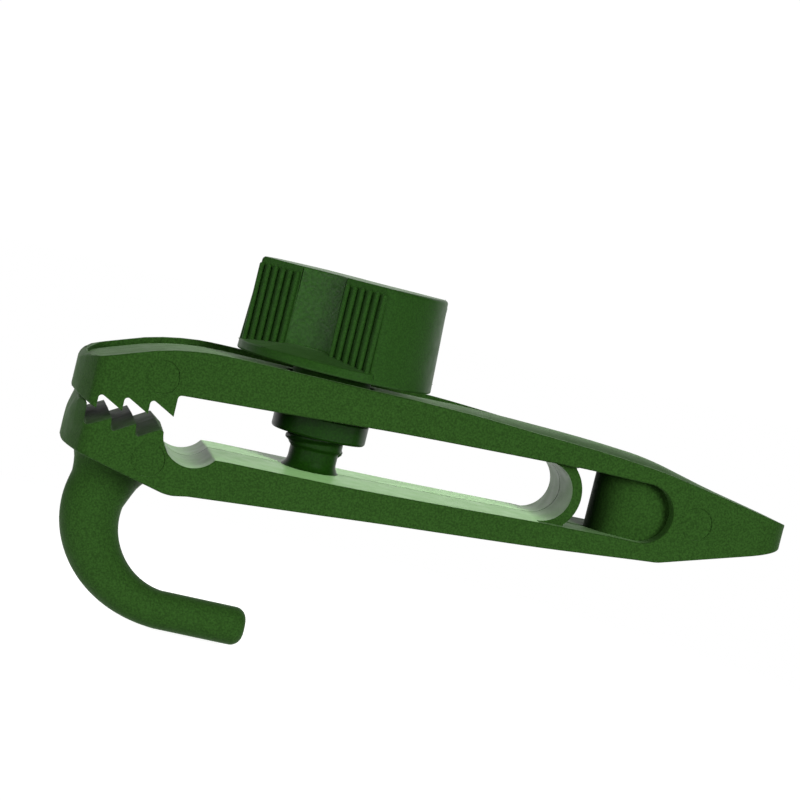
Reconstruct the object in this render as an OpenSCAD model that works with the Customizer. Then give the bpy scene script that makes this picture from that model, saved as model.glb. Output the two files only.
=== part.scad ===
// Screw-down tarp clip: two toothed jaws on one springy moulding, a knob that draws
// them together on a fixed stud, and a round hook below the lower jaw.
// The origin is the middle of the cord cradle in the lower jaw. +X runs to the tail,
// +Z runs up the stud, and the moulding is symmetrical about the XZ plane.

/* [Body] */
// Distance from the cord cradle to the front of the nose
nose_reach = 18.4; // [17.8:0.1:20]
// Distance from the cord cradle to the end of the tail
tail_reach = 92.9; // [89.5:0.2:98]
// Width across the jaws
head_w = 26; // [23:0.5:29]
// Width across the tail
tail_w = 19; // [16:0.5:22]
// Distance from the cord cradle to where the sides start to taper
taper_from_x = 21; // [16:0.5:26]
// Distance from the cord cradle to where the taper ends
taper_to_x = 61; // [55:0.5:66]
// Radius of the bowed nose, seen from above
nose_r = 30.6; // [24:0.2:60]
// Corner radius of the nose, seen from above
nose_corner_r = 2.5; // [1.8:0.1:4]
// Corner radius of the tail, seen from above
tail_corner_r = 5.8; // [3:0.2:7.5]

/* [Arms] */
// Height of the upper arm's top above the cord cradle
top_h = 12.4; // [12:0.1:12.6]
// Height of the slot's ceiling where the teeth end
ceiling_front_h = 5.6; // [5.2:0.05:6]
// Height of the slot's ceiling halfway along the arm
ceiling_mid_h = 7.4; // [7.2:0.05:8]
// Height of the slot's ceiling at the web
ceiling_rear_h = 8; // [7.6:0.05:8.4]
// Depth of the slot's floor beside the cradle
floor_front_d = 2.63; // [2.3:0.05:3]
// Depth of the slot's floor halfway along the arm
floor_mid_d = 2.12; // [1.8:0.05:2.4]
// Depth of the slot's floor at the web
floor_rear_d = 1.3; // [1:0.05:1.6]
// Depth of the chin, the lowest point of the lower jaw
chin_d = 8.97; // [8.4:0.05:10]
// Width of the rim round the channel in the upper arm
rim_w = 1.2; // [0.8:0.1:2]
// Depth of the channel in the upper arm
channel_d = 0.9; // [0.5:0.05:1.2]

/* [Jaws] */
// Diameter of the cord cradle
cradle_d = 9.1; // [8.2:0.1:9.2]
// Distance between two teeth
tooth_pitch = 3.72; // [3.5:0.02:3.76]
// Depth of an upper tooth
tooth_h = 2.03; // [1.6:0.05:2.4]
// Radius between two upper teeth
gullet_r = 0.5; // [0.3:0.05:0.7]
// Depth of a lower valley under its ridge
valley_d = 1.75; // [1.4:0.05:2]
// Radius at the bottom of a lower valley
valley_r = 0.42; // [0.3:0.02:0.6]

/* [Web and tail] */
// Distance from the cord cradle to the centre of the web's bend
web_x = 53.6; // [52.6:0.1:55]
// Thickness of the web
web_t = 1.5; // [1:0.1:2]
// Recess of the web behind the sides of the arms
web_recess = 2; // [0.5:0.1:3]
// Distance from the cord cradle to the point that the upper arm flexes about
pivot_x = 50.3; // [49:0.1:51]
// Distance from the cord cradle to the middle of the tail column
column_x = 70; // [69:0.1:72]
// Diameter of the tail column
column_d = 13.6; // [10:0.2:15]
// Distance from the cord cradle to the centre of the pocket's round end
pocket_x = 69.3; // [68:0.1:71]
// Rise of the tail's raised back over its rims
pad_h = 0.6; // [0.3:0.05:0.9]

/* [Hook] */
// Radius inside the hook's bend
hook_r = 8.95; // [7.5:0.05:9.5]
// Thickness of the hook at the top of the bend
hook_root_d = 9.2; // [8:0.1:9.6]
// Thickness of the hook's end arm
hook_tip_d = 6.2; // [5:0.1:7.5]
// Distance from the cord cradle back to the centre of the bend
hook_x = 1.95; // [1:0.05:3]
// Depth of the centre of the bend under the cord cradle
hook_centre_d = 16.05; // [15.4:0.05:18]
// Distance from the cord cradle to the end of the hook
hook_tip_x = 15.4; // [10:0.2:24]
// Rounding at the end of the hook
hook_end_r = 1.6; // [0.8:0.1:2.4]

/* [Screw] */
// Distance from the cord cradle to the stud
stud_x = 19.4; // [18.4:0.1:20]
// Diameter of the stud's plain neck
neck_d = 7.5; // [6.5:0.1:8]
// Diameter over the stud's thread
thread_d = 10; // [9:0.1:10]
// Height of the thread's lower end above the cord cradle
thread_h = 1.6; // [1:0.1:2]
// Height of the stud's end above the cord cradle
stud_end_h = 22.5; // [18:0.1:23]
// Radius of the fillet at the stud's foot
foot_r = 1.9; // [1:0.1:2.4]

/* [Collar] */
// Width of the collar's ring round the hub
collar_w = 1.25; // [1:0.05:1.5]
// Height of the collar's lower face above the cord cradle
collar_low_h = 3.1; // [2.8:0.1:3.4]
// Height of the collar's upper face above the cord cradle
collar_top_h = 6.2; // [6:0.05:6.25]
// Rounding of the collar's lower edge
collar_edge_r = 0.5; // [0.2:0.1:0.8]

/* [Knob] */
// Diameter of the knob at its base
knob_d = 30.2; // [28:0.2:32]
// Diameter of the knob at its top
knob_top_d = 29.2; // [27:0.2:30]
// Height of the knob's base above the cord cradle
knob_low_h = 13.35; // [13.35:0.05:13.8]
// Height of the knob's top above the cord cradle
knob_top_h = 27.5; // [26.4:0.1:32]
// Height of the plain ring at the knob's base
ring_h = 1.45; // [1:0.05:2.4]
// Rise of the sloped ledge over the ring at the middle of a grip face
ledge_h = 1.3; // [0.6:0.05:2]
// Distance between the knob's two grip faces
grip_w = 17.8; // [16.4:0.2:22]
// Turn of the grip faces about the stud
grip_turn = -40; // [-90:1:90]
// Width of the thumb scoop in a grip face
scoop_w = 8; // [5:0.2:10]
// Depth of the thumb scoop
scoop_d = 1.1; // [0.6:0.1:1.3]
// Number of ribs on each side of a thumb scoop
rib_count = 6; // [3:1:6]
// Distance between two ribs
rib_pitch = 1.28; // [1:0.02:1.3]
// Width of a rib
rib_w = 0.8; // [0.5:0.05:0.95]
// Rounding of the knob's upper edge
knob_edge_r = 0.8; // [0.4:0.1:1.4]
// Wall of the hub that runs down through the upper arm
hub_wall = 1; // [0.8:0.05:1.1]
// Height of the snap lip at the hub's lower end
lip_h = 0.5; // [0.4:0.05:0.8]
// Overhang of the snap lip
lip_t = 0.35; // [0.2:0.05:0.4]

/* [Fits] */
// Running gap round a turning or sliding piece
run_gap = 0.05; // [0.03:0.01:0.1]
// Gap in the flexing joint of the upper arm
flex_gap = 0.1; // [0.08:0.01:0.15]
// Gap between the hub and the hole in the upper arm
hole_gap = 0.65; // [0.6:0.05:0.7]
// Gap over the stud's end
end_gap = 1.5; // [1:0.1:2]

/* [Hidden] */
$fn = 96;
over = 1;
hinge_line = 0.02;

jaw_end_share = 0.42;
tail_start_share = 0.3;
pocket_low_share = 0.1;

// Shares of the nose reach and the top height, from the nose to the cradle
brow_shares = [[-1, 0.25], [-1, 0.54], [-0.975, 0.6], [-0.947, 0.622], [-0.779, 0.699],
    [-0.592, 0.796], [-0.452, 0.869], [-0.309, 0.923], [-0.163, 0.963], [-0.015, 0.99]];
// Shares of the tail reach and the top height, from the cradle to the tail
back_shares = [[0.039, 1], [0.334, 1], [0.432, 0.985], [0.543, 0.942], [0.612, 0.918], [0.661, 0.898],
    [0.711, 0.869], [0.763, 0.831], [0.826, 0.757], [0.899, 0.668], [0.967, 0.578], [0.99, 0.547],
    [0.997, 0.524], [1, 0.476]];
// Shares of the tail reach and the rise of the tail's raised back, from the channel to the tail
pad_shares = [[0.688, -0.25], [0.74, 0.8], [0.785, 1], [0.83, 0.8], [0.91, -0.3]];
// Shares of the tail reach and the chin depth, from the chin to the tail
belly_shares = [[0.011, -0.948], [0.324, -0.719], [0.589, -0.53], [0.775, -0.368], [0.808, -0.292],
    [0.986, 0.256], [0.996, 0.3], [1, 0.37]];
// Shares of the nose reach and the chin depth, from the chin round the beak to the first valley
chin_shares = [[-0.09, -0.985], [-0.125, -1], [-0.17, -0.992], [-0.29, -0.942], [-0.973, -0.617],
    [-0.995, -0.55], [-1, -0.4], [-0.992, -0.133], [-0.946, 0.15], [-0.924, 0.18],
    [-0.889, 0.172], [-0.873, 0.14]];
// First upper tip and lower ridge, as shares of the nose reach and the tooth depth
tip_share = [-0.808, 0.67];
ridge_share = [-0.669, 0.015];
tip_rise_share = 0.187;
ridge_step_share = 0.981;
undercut_share = 0.07;
// Shares of the hook's root thickness: back, down and thickness, from the jaw to the bend
root_shares = [[0.83, 0.49, 1.79], [0.776, 0.62, 1.63], [0.71, 0.75, 1.435], [0.667, 0.859, 1.293],
    [0.607, 0.989, 1.185], [0.689, 1.196, 1.12]];
bend_from = 166;
bend_to = 270;

// Lines of the side view
mid_x = stud_x + (pivot_x - stud_x) * 0.34;
column_r = column_d / 2;
cradle_r = cradle_d / 2;
top_line = concat(
    [for (s = brow_shares) [s[0] * nose_reach, s[1] * top_h]],
    [for (s = back_shares) [s[0] * tail_reach, s[1] * top_h]]);
belly_line = [for (s = belly_shares) [s[0] * tail_reach, s[1] * chin_d]];
chin_line = [for (s = chin_shares) [s[0] * nose_reach, s[1] * chin_d]];
corner_x = sqrt(cradle_r * cradle_r - floor_front_d * floor_front_d);
pocket_low_d = floor_rear_d * (1 - pocket_low_share * 3);
floor_line = [[corner_x, -floor_front_d], [mid_x, -floor_mid_d], [web_x, -floor_rear_d],
    [pocket_x, -pocket_low_d], [tail_reach, -pocket_low_d]];
tips = [for (i = [0 : 3]) [tip_share[0] * nose_reach + i * tooth_pitch,
    tip_share[1] * tooth_h + i * tip_rise_share * tooth_h]];
ceiling_x = tips[3][0] + gullet_r;
ceiling_line = [[ceiling_x, ceiling_front_h], [mid_x, ceiling_mid_h], [web_x, ceiling_rear_h],
    [tail_reach, ceiling_rear_h]];
jaw_end_x = stud_x * jaw_end_share;
web_r = (ceiling_rear_h + floor_rear_d) / 2;
web_z = ceiling_rear_h - web_r;
tail_start_x = web_x + web_r + web_t + (column_x - column_r - web_x - web_r - web_t) * (1 - tail_start_share);
pocket_r = (ceiling_rear_h + pocket_low_d) / 2;
pocket_z = ceiling_rear_h - pocket_r;
pivot_top_h = lookup(pivot_x, top_line);
pivot_low_h = lookup(pivot_x, ceiling_line);
pivot_z = (pivot_top_h + pivot_low_h) / 2;
knuckle_r = (pivot_top_h - pivot_low_h) / 2;
hub_d = thread_d + hub_wall * 2;
collar_d = hub_d + collar_w * 2;
hole_r = hub_d / 2 + hole_gap;
bore_r = thread_d / 2 + run_gap;
collar_bore_r = hub_d / 2 + run_gap;
fade_from_x = column_x - column_d * 2.4;
fade_to_x = column_x - column_d * 0.45;
pad_line = [for (s = pad_shares) [s[0] * tail_reach, lookup(s[0] * tail_reach, top_line) + s[1] * pad_h]];

// Points of a line between two distances along the clip
function span(line, a, b) = concat([[a, lookup(a, line)]],
    [for (p = line) if (p[0] > a && p[0] < b) p], [[b, lookup(b, line)]]);
function turned(points) = [for (i = [len(points) - 1 : -1 : 0]) points[i]];
function arc(c, r, from, to, steps) = [for (i = [0 : steps]) let (a = from + (to - from) * i / steps)
    [c[0] + r * cos(a), c[1] + r * sin(a)]];
// Angle at which a line from an outside point touches a circle, on its left or right
function touch(c, r, p, side) = atan2(p[1] - c[1], p[0] - c[0]) + side * acos(r / norm(p - c));

// One upper tooth: its tip, its upright back and the round gullet behind it
function upper_gap(tip, next) = let (c = [tip[0] + gullet_r, tip[1] + tooth_h - gullet_r])
    concat([tip], arc(c, gullet_r, 180, touch(c, gullet_r, next, 1), 8));
upper_teeth = concat(
    upper_gap(tips[0], tips[1]), upper_gap(tips[1], tips[2]), upper_gap(tips[2], tips[3]),
    [tips[3]],
    arc([tips[3][0] + gullet_r, ceiling_front_h - gullet_r], gullet_r, 180, 90, 6));

// The lower ridges, each with an upright face and a round valley in front of the next
ridge_pitch = tooth_pitch * ridge_step_share;
ridges = [for (i = [0 : 2]) [ridge_share[0] * nose_reach + i * ridge_pitch, ridge_share[1] * tooth_h]];
function lower_gap(from_x, next) = let (c = [from_x + undercut_share * tooth_h + valley_r,
    next[1] - valley_d + valley_r])
    concat(arc(c, valley_r, 180, 360 + touch(c, valley_r, next, -1), 8), [next]);
beak = chin_line[len(chin_line) - 1];
lower_teeth = concat(
    lower_gap(beak[0] - undercut_share * tooth_h, ridges[0]),
    lower_gap(ridges[0][0], ridges[1]), lower_gap(ridges[1][0], ridges[2]));

// Outline seen from above, drawn in by an inset for the channel
module plan(inset) {
    half = head_w / 2 - inset;
    tail_half = tail_w / 2 - inset;
    bow_r = nose_r - inset;
    bow_x = nose_r - nose_reach;
    corner_y = head_w / 2 - nose_corner_r;
    reach = nose_r - nose_corner_r;
    corner_cx = bow_x - sqrt(reach * reach - corner_y * corner_y);
    corner = nose_corner_r - inset;
    touch_x = bow_x + (corner_cx - bow_x) * bow_r / reach;
    touch_y = corner_y * bow_r / reach;
    end_x = tail_reach - inset;
    end_cx = tail_reach - tail_corner_r;
    end_cy = tail_w / 2 - tail_corner_r;
    intersection() {
        union() {
            polygon([[-nose_reach - over, -touch_y], [touch_x, -touch_y], [corner_cx, -half],
                [taper_from_x, -half], [taper_to_x, -tail_half], [end_cx, -tail_half],
                [end_x, -end_cy], [end_x, end_cy], [end_cx, tail_half], [taper_to_x, tail_half],
                [taper_from_x, half], [corner_cx, half], [touch_x, touch_y],
                [-nose_reach - over, touch_y]]);
            for (side = [-1, 1]) {
                translate([corner_cx, side * corner_y]) circle(corner);
                translate([end_cx, side * end_cy]) circle(tail_corner_r - inset);
            }
        }
        union() {
            translate([bow_x, 0]) circle(bow_r);
            translate([bow_x, -head_w]) square([tail_reach, head_w * 2]);
        }
    }
}

// A side-view outline given its width and trimmed to the outline from above, drawn in by an inset
module slab(points, inset = 0) {
    intersection() {
        rotate([90, 0, 0]) linear_extrude(head_w + over, center = true) polygon(points);
        translate([0, 0, -chin_d - over]) linear_extrude(chin_d + top_h + over * 2) plan(inset);
    }
}

// A cylinder across the clip
module cross_pin(x, z, r) {
    translate([x, 0, z]) rotate([90, 0, 0]) cylinder(head_w + over * 2, r, r, center = true);
}

// The shallow channel that runs down the back of the upper arm inside its rim
module channel() {
    floor_of = [for (p = top_line) if (p[0] > -nose_reach * 0.95 && p[0] < fade_from_x)
        [p[0], p[1] - channel_d]];
    intersection() {
        rotate([90, 0, 0]) linear_extrude(head_w, center = true)
            polygon(concat([[-nose_reach, top_h + over], [-nose_reach, floor_of[0][1]]], floor_of,
                [[fade_from_x, lookup(fade_from_x, top_line) - channel_d],
                [fade_to_x, lookup(fade_to_x, top_line) + hinge_line], [fade_to_x, top_h + over]]));
        linear_extrude(top_h + over * 2) plan(rim_w);
    }
}

module lower_jaw() {
    color("darkgreen") difference() {
        slab(concat(lower_teeth, span(floor_line, corner_x, jaw_end_x),
            turned(span(belly_line, belly_line[0][0], jaw_end_x)), chin_line));
        cross_pin(0, 0, cradle_r);
    }
}

module lower_arm() {
    color("darkgreen")
        slab(concat(span(floor_line, jaw_end_x, tail_start_x),
            turned(span(belly_line, jaw_end_x, tail_start_x))));
}

// Rings of the hook: place, thickness and tilt, from inside the jaw to the rounded end
function bend_d(t) = hook_root_d + (hook_tip_d - hook_root_d) * t * t * (3 - 2 * t);
bend_steps = 18;
hook_rings = concat(
    [for (s = root_shares) [-s[0] * hook_root_d - hook_root_d * 0.42, -s[1] * hook_root_d, s[2] * hook_root_d,
        s[1] > 1 ? -6 : 0]],
    [for (i = [0 : bend_steps]) let (t = i / bend_steps, a = bend_from + (bend_to - bend_from) * t, d = bend_d(t))
        [hook_x + (hook_r + d / 2) * cos(a), -hook_centre_d + (hook_r + d / 2) * sin(a), d, a - 180]],
    [for (i = [1 : 3]) [hook_x + (hook_tip_x - hook_end_r - hook_x) * i / 3,
        -hook_centre_d - hook_r - hook_tip_d / 2, hook_tip_d, 90]],
    [for (i = [1 : 4]) let (a = i * 22.5) [hook_tip_x - hook_end_r + hook_end_r * sin(a),
        -hook_centre_d - hook_r - hook_tip_d / 2, hook_tip_d - hook_end_r * 2 * (1 - cos(a)), 90]]);
hook_sides = 32;

module hook() {
    points = [for (ring = hook_rings) for (k = [0 : hook_sides - 1]) let (a = k * 360 / hook_sides,
        out = ring[2] / 2 * cos(a))
        [ring[0] + out * cos(ring[3]), ring[2] / 2 * sin(a), ring[1] + out * sin(ring[3])]];
    last = len(hook_rings) - 1;
    walls = [for (i = [0 : last - 1]) for (k = [0 : hook_sides - 1]) let (a = i * hook_sides + k,
        b = i * hook_sides + (k + 1) % hook_sides)
        each [[a, b, a + hook_sides], [b, b + hook_sides, a + hook_sides]]];
    ends = [[for (k = [hook_sides - 1 : -1 : 0]) k], [for (k = [0 : hook_sides - 1]) last * hook_sides + k]];
    under = [for (p = chin_line) if (p[1] < -chin_d * 0.58 && p[0] < -nose_reach * 0.1) p];
    color("darkgreen") difference() {
        polyhedron(points, concat(walls, ends), 10);
        rotate([90, 0, 0]) linear_extrude(head_w, center = true)
            polygon(concat(under, [[-nose_reach * 1.3, -chin_d * 0.617], [-nose_reach * 1.3, over],
                [jaw_end_x, over], [jaw_end_x, lookup(jaw_end_x, belly_line)]],
                turned(span(belly_line, belly_line[0][0], jaw_end_x - over))));
    }
}

module threaded_stud() {
    foot_z = -floor_front_d;
    color("darkgreen") difference() {
        translate([stud_x, 0, 0]) {
            rotate_extrude() translate([0, foot_z]) difference() {
                square([neck_d / 2 + foot_r, foot_r + floor_front_d - floor_mid_d]);
                translate([neck_d / 2 + foot_r, foot_r + floor_front_d - floor_mid_d]) circle(foot_r);
            }
            translate([0, 0, foot_z]) cylinder(thread_h + floor_front_d, neck_d / 2, neck_d / 2);
            translate([0, 0, thread_h - (thread_d - neck_d) / 4])
                cylinder((thread_d - neck_d) / 4, neck_d / 2, thread_d / 2);
            translate([0, 0, thread_h]) cylinder(stud_end_h - thread_h, thread_d / 2, thread_d / 2);
        }
        slab(concat(span(floor_line, jaw_end_x, web_x), [[web_x, -chin_d], [jaw_end_x, -chin_d]]));
    }
}

module spring_web() {
    color("darkgreen") difference() {
        intersection() {
            slab(concat(span(floor_line, web_x, tail_start_x), turned(span(ceiling_line, web_x, tail_start_x))),
                web_recess);
            cross_pin(web_x, web_z, web_r + web_t);
        }
        cross_pin(web_x, web_z, web_r);
    }
}

// The raised back of the tail between its rims
module raised_back() {
    foot = [for (p = pad_line) [p[0], lookup(p[0], top_line) - channel_d]];
    slab(concat(pad_line, turned(foot)), rim_w * 2);
}

module tail_block() {
    color("darkgreen") difference() {
        union() {
            slab(concat(span(top_line, tail_start_x, tail_reach),
                turned(span(belly_line, tail_start_x, tail_reach))));
            raised_back();
        }
        difference() {
            union() {
                rotate([90, 0, 0]) linear_extrude(head_w, center = true)
                    polygon(concat([[tail_start_x - over, ceiling_rear_h], [pocket_x, ceiling_rear_h]],
                        turned(span(floor_line, tail_start_x - over, pocket_x))));
                cross_pin(pocket_x, pocket_z, pocket_r);
            }
            translate([column_x, 0, -chin_d]) cylinder(chin_d + top_h, column_r, column_r);
            translate([column_x, -column_r, -chin_d]) cube([column_r, column_d, chin_d + top_h]);
        }
        channel();
    }
}

module upper_rail() {
    color("darkgreen") difference() {
        slab(concat(span(top_line, pivot_x, tail_start_x),
            turned(span(ceiling_line, pivot_x, tail_start_x))));
        cross_pin(pivot_x, pivot_z, knuckle_r + flex_gap);
        channel();
    }
}

module upper_jaw() {
    color("darkgreen") difference() {
        union() {
            slab(concat(upper_teeth, span(ceiling_line, ceiling_x, pivot_x),
                turned(span(top_line, -nose_reach * 0.98, pivot_x)), [top_line[1], top_line[0]]));
            intersection() {
                cross_pin(pivot_x, pivot_z, knuckle_r);
                slab([[pivot_x - knuckle_r, 0], [pivot_x - knuckle_r, top_h + over],
                    [web_x + web_r, top_h + over], [web_x + web_r, 0]]);
            }
        }
        channel();
        translate([stud_x, 0, 0]) cylinder(top_h + over, hole_r, hole_r);
    }
}

module retaining_collar() {
    bore_step_h = lip_h + run_gap;
    color("darkgreen") translate([stud_x, 0, collar_low_h]) rotate_extrude() difference() {
        union() {
            translate([0, collar_edge_r]) square([collar_d / 2, collar_top_h - collar_low_h - collar_edge_r]);
            square([collar_d / 2 - collar_edge_r, collar_edge_r]);
            translate([collar_d / 2 - collar_edge_r, collar_edge_r]) circle(collar_edge_r);
        }
        square([collar_bore_r, collar_top_h]);
        square([collar_bore_r + lip_t, bore_step_h]);
    }
}

// The round blank of the knob before its grip faces are cut
module knob_blank() {
    rotate_extrude() {
        polygon([[0, knob_low_h], [knob_d / 2, knob_low_h],
            [knob_top_d / 2, knob_top_h - knob_edge_r],
            [knob_top_d / 2 - knob_edge_r, knob_top_h], [0, knob_top_h]]);
        translate([knob_top_d / 2 - knob_edge_r, knob_top_h - knob_edge_r]) circle(knob_edge_r);
    }
}

// The space that one grip face takes from the blank, ribs left standing in it
module grip_cut() {
    ledge_z = knob_low_h + ring_h;
    rib_from = scoop_w / 2 + rib_pitch / 2;
    difference() {
        translate([-knob_d / 2, -knob_d / 2 - over, ledge_z])
            cube([knob_d, knob_d / 2 + over - grip_w / 2, knob_top_h]);
        translate([0, 0, ledge_z])
            cylinder(ledge_h * knob_d / (knob_d - grip_w), knob_d / 2, 0);
        for (side = [-1, 1]) for (i = [0 : rib_count - 1])
            translate([side * (rib_from + i * rib_pitch), -grip_w / 2, 0])
                cylinder(knob_top_h - knob_edge_r, rib_w / 2, rib_w / 2, $fn = 24);
    }
    scoop_r = (scoop_w * scoop_w / 4 + scoop_d * scoop_d) / (2 * scoop_d);
    difference() {
        translate([0, -grip_w / 2 - scoop_r + scoop_d, ledge_z])
            cylinder(knob_top_h, scoop_r, scoop_r);
        translate([0, 0, ledge_z])
            cylinder(ledge_h * knob_d / (knob_d - grip_w), knob_d / 2, 0);
    }
}

module knob() {
    color("darkgreen") translate([stud_x, 0, 0]) difference() {
        union() {
            difference() {
                knob_blank();
                rotate([0, 0, grip_turn]) grip_cut();
                rotate([0, 0, grip_turn + 180]) grip_cut();
            }
            translate([0, 0, collar_low_h]) cylinder(knob_low_h - collar_low_h + over, hub_d / 2, hub_d / 2);
            translate([0, 0, collar_low_h]) cylinder(lip_h, hub_d / 2 + lip_t - run_gap, hub_d / 2 + lip_t - run_gap);
        }
        translate([0, 0, -over]) cylinder(stud_end_h + end_gap + over, bore_r, bore_r);
    }
}

lower_jaw();
lower_arm();
hook();
threaded_stud();
spring_web();
tail_block();
upper_rail();
upper_jaw();
retaining_collar();
knob();
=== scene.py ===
import math

import bmesh
import bpy
from mathutils import Matrix, Vector


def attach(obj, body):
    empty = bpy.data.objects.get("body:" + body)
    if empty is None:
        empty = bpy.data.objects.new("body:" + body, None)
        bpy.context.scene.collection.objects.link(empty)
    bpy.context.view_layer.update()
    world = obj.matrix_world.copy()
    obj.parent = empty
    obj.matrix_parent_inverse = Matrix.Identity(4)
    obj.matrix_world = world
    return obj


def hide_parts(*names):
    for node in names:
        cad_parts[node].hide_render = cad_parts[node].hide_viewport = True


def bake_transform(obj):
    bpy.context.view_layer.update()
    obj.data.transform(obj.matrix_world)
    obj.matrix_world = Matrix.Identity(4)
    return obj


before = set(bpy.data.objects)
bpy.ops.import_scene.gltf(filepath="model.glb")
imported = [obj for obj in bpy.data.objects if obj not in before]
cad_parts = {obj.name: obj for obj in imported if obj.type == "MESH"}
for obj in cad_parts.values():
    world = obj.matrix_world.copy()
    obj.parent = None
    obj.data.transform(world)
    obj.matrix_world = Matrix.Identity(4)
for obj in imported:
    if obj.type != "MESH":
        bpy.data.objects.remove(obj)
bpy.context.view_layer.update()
mm = 0.001

# camera at the photograph's angle, for an 800 x 800 picture
view = {
    "place": (-37.82, -372.61, 34.70),
    "right": (0.9577, -0.1602, 0.2389),
    "up": (-0.2246, 0.1021, 0.9691),
    "ahead": (0.1797, 0.9818, -0.0618),
    "focalPixels": 2500,
    "pictureWidth": 800,
    "sensorWidth": 36,
    "clipStart": 0.01,
    "clipEnd": 10,
}


def makeCamera():
    data = bpy.data.cameras.new("photoCamera")
    data.sensor_width = view["sensorWidth"]
    data.lens = view["focalPixels"] / view["pictureWidth"] * view["sensorWidth"]
    data.clip_start = view["clipStart"]
    data.clip_end = view["clipEnd"]
    camera = bpy.data.objects.new("photoCamera", data)
    bpy.context.collection.objects.link(camera)
    right, up, ahead = (Vector(view[k]).normalized() for k in ("right", "up", "ahead"))
    turn = Matrix((right, up, -ahead)).transposed().to_4x4()
    camera.matrix_world = Matrix.Translation(Vector(view["place"]) * mm) @ turn
    bpy.context.scene.camera = camera


makeCamera()
print("camera set")

# the moulding; sizes are in millimetres unless a note says metres
moulding = {
    "noseReach": 18.4, "tailReach": 92.9, "headHalf": 13.0, "tailHalf": 9.5,
    "taperFrom": 21.0, "taperTo": 61.0,
    "noseR": 30.6, "noseCornerR": 2.5, "tailCornerR": 5.8,
    "cradleR": 4.55,
    "webX": 53.6, "webT": 1.5, "webTop": 8.0, "webLow": -1.3, "webRecess": 2.0,
    "webCutX": 0.4,  # how far the cutter for the web's sides reaches past the web
    "pocketX": 69.3, "pocketLow": -0.91, "columnX": 70.0, "columnR": 6.8, "tailWallX": 76.0,
    "studX": 19.4, "holeR": 6.65,
    "edgeR": 0.28, "edgeSteps": 3, "edgeAngle": 38, "creaseAngle": 32,
    "draft": 0.34,
    "lineHalf": 0.13, "lineShare": 0.62,  # the parting line's groove: half width, share of draft
    "blankHalf": 14.0, "partingHalf": 16.0,
}
# lowest and highest point of what is lifted from a plan
spans = {"gap": (-4, 12), "moulding": (-12, 16), "web": (-6, 12), "back": (0, 20),
         "hubHole": (4, 16)}


def lerp(line, x):
    for (x0, z0), (x1, z1) in zip(line, line[1:]):
        if x0 <= x <= x1:
            return z0 + (z1 - z0) * (x - x0) / (x1 - x0)
    return line[0][1] if x < line[0][0] else line[-1][1]


def smoothLine(points, step):
    # smooth curve through the points, each span cut into even steps
    out = []
    pts = [points[0]] + list(points) + [points[-1]]
    for i in range(1, len(pts) - 2):
        p0, p1, p2, p3 = (Vector(p) for p in pts[i - 1:i + 3])
        n = max(1, round((p2 - p1).length / step))
        for k in range(n):
            t = k / n
            q = 0.5 * ((2 * p1) + (p2 - p0) * t + (2 * p0 - 5 * p1 + 4 * p2 - p3) * t * t
                       + (-p0 + 3 * p1 - 3 * p2 + p3) * t ** 3)
            out.append((q.x, q.y))
    out.append(tuple(points[-1]))
    return out


def arc(cx, cz, r, start, stop, steps):
    turns = [math.radians(start + (stop - start) * i / steps) for i in range(steps + 1)]
    return [(cx + r * math.cos(t), cz + r * math.sin(t)) for t in turns]


def rounded(points, radii, steps=4):
    # open line of points, its corners rounded by one radius or by a list of them
    straight = math.radians(89)
    share = 0.45  # the most of a side that a corner takes
    out = [points[0]]
    for i in range(1, len(points) - 1):
        p, a, b = Vector(points[i]), Vector(points[i - 1]), Vector(points[i + 1])
        r = radii[i] if isinstance(radii, (list, tuple)) else radii
        u, v = (a - p).normalized(), (b - p).normalized()
        half = u.angle(v) / 2
        if r <= 0 or half > straight:
            out.append(tuple(p))
            continue
        back = min(r / math.tan(half), share * (a - p).length, share * (b - p).length)
        rr = back * math.tan(half)
        c = p + (u + v).normalized() * (rr / math.sin(half))
        s0, s1 = p + u * back, p + v * back
        a0 = math.atan2(s0.y - c.y, s0.x - c.x)
        a1 = math.atan2(s1.y - c.y, s1.x - c.x)
        while a1 - a0 > math.pi:
            a1 -= 2 * math.pi
        while a1 - a0 < -math.pi:
            a1 += 2 * math.pi
        for k in range(steps + 1):
            w = a0 + (a1 - a0) * k / steps
            out.append((c.x + rr * math.cos(w), c.y + rr * math.sin(w)))
    out.append(points[-1])
    return out


topPoints = [
    (-17.1, 7.95), (-14.49, 8.83), (-11.02, 10.03), (-8.41, 10.92), (-5.74, 11.59),
    (-3.03, 12.08), (-0.27, 12.4), (4.0, 12.52), (12.0, 12.5), (22.0, 12.48), (31.0, 12.45),
    (40.1, 12.25), (50.4, 11.7), (56.8, 11.38), (61.4, 11.11), (66.0, 10.73), (70.84, 10.25),
    (76.7, 9.3), (83.5, 8.1), (90.0, 6.85), (92.0, 6.45),
]
teeth = {
    "tips": [(-14.86, 1.0), (-11.14, 1.4), (-7.42, 1.8), (-3.70, 2.2)],
    "rootR": 0.5, "rootLift": 1.53, "lastRootR": 0.55, "lastRootTop": 5.45,
    "ridges": [(-12.31, 0.03), (-8.66, 0.03), (-5.01, 0.03)],
    "lowerFrom": -16.2, "lowerRootR": 0.42, "lowerRootShift": 0.14, "lowerRootDrop": 1.75,
}


def touchAngle(c, r, p, side):
    # where on a circle the line from a point touches it
    d = math.hypot(p[0] - c[0], p[1] - c[1])
    towards = math.degrees(math.atan2(p[1] - c[1], p[0] - c[0]))
    return towards + side * math.degrees(math.acos(r / d))


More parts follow.
